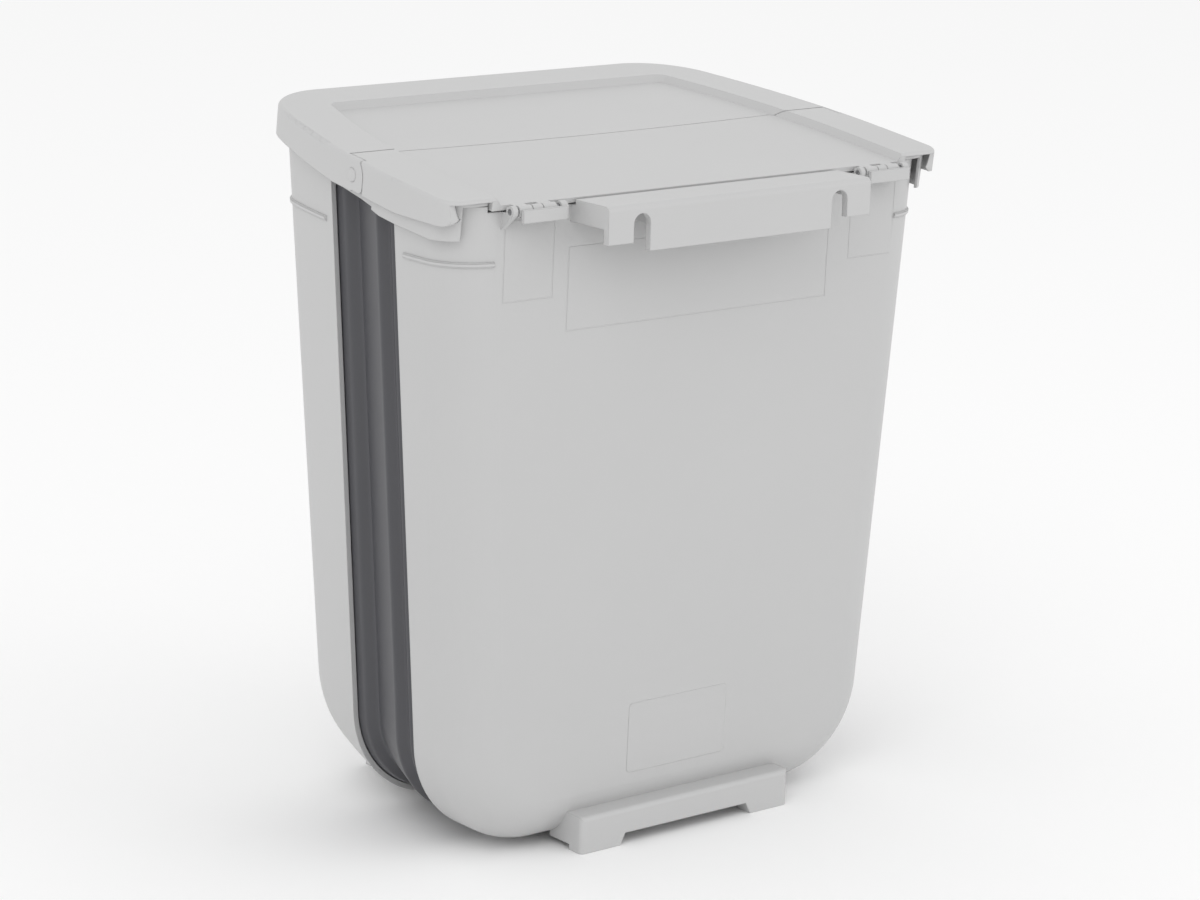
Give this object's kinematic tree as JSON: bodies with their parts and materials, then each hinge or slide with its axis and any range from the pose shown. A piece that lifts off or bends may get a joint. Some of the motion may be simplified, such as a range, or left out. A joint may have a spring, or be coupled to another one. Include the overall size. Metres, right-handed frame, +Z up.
{
  "type": "collapsible under-sink bin",
  "caption": "Folding kitchen bin with two rigid half shells, a soft folding band between them, a two-part hinged lid with front flap, a bag ring and a hook for a cabinet door",
  "frame": {"origin": "centre of the bounding box in plan, on the plane the feet stand on", "axes": "+Z up, +Y towards the cabinet door that the bin hangs on, +X to the left in the picture"},
  "size_m": [0.256, 0.1834, 0.2946],
  "materials": {
    "body_plastic": "light grey polypropylene, fine satin",
    "lid_plastic": "light grey polypropylene, fine satin",
    "soft_band": "dark grey soft elastomer",
    "pin_steel": "plain steel wire pin"
  },
  "bodies": {
    "rear_body": {"rear_shell": "body_plastic", "fold_membrane": "soft_band", "hinge_pin_left": "pin_steel", "hinge_pin_right": "pin_steel"},
    "front_body": {"front_shell": "body_plastic"},
    "ring_body": {"bag_ring": "body_plastic"},
    "lid_body": {"rear_lid": "lid_plastic", "flap_pin_left": "lid_plastic", "flap_pin_right": "lid_plastic"},
    "flap_body": {"front_flap": "lid_plastic"}
  },
  "joints": [
    {"name": "front_fold", "type": "slide", "parent": "rear_body", "child": "front_body", "axis": [0, 1, 0], "range_m": [0, 0.04], "deforming": ["fold_membrane"]},
    {"name": "ring_tilt", "type": "hinge", "parent": "rear_body", "child": "ring_body", "pos_m": [0, 0.073, 0.2701], "axis": [-1, 0, 0], "range_deg": [0, 12]},
    {"name": "lid_hinge", "type": "hinge", "parent": "ring_body", "child": "lid_body", "pos_m": [0, 0.073, 0.2701], "axis": [-1, 0, 0], "range_deg": [0, 80]},
    {"name": "flap_hinge", "type": "hinge", "parent": "lid_body", "child": "flap_body", "pos_m": [0, 0.00353, 0.27632], "axis": [-1, 0, 0], "range_deg": [0, 65]}
  ]
}
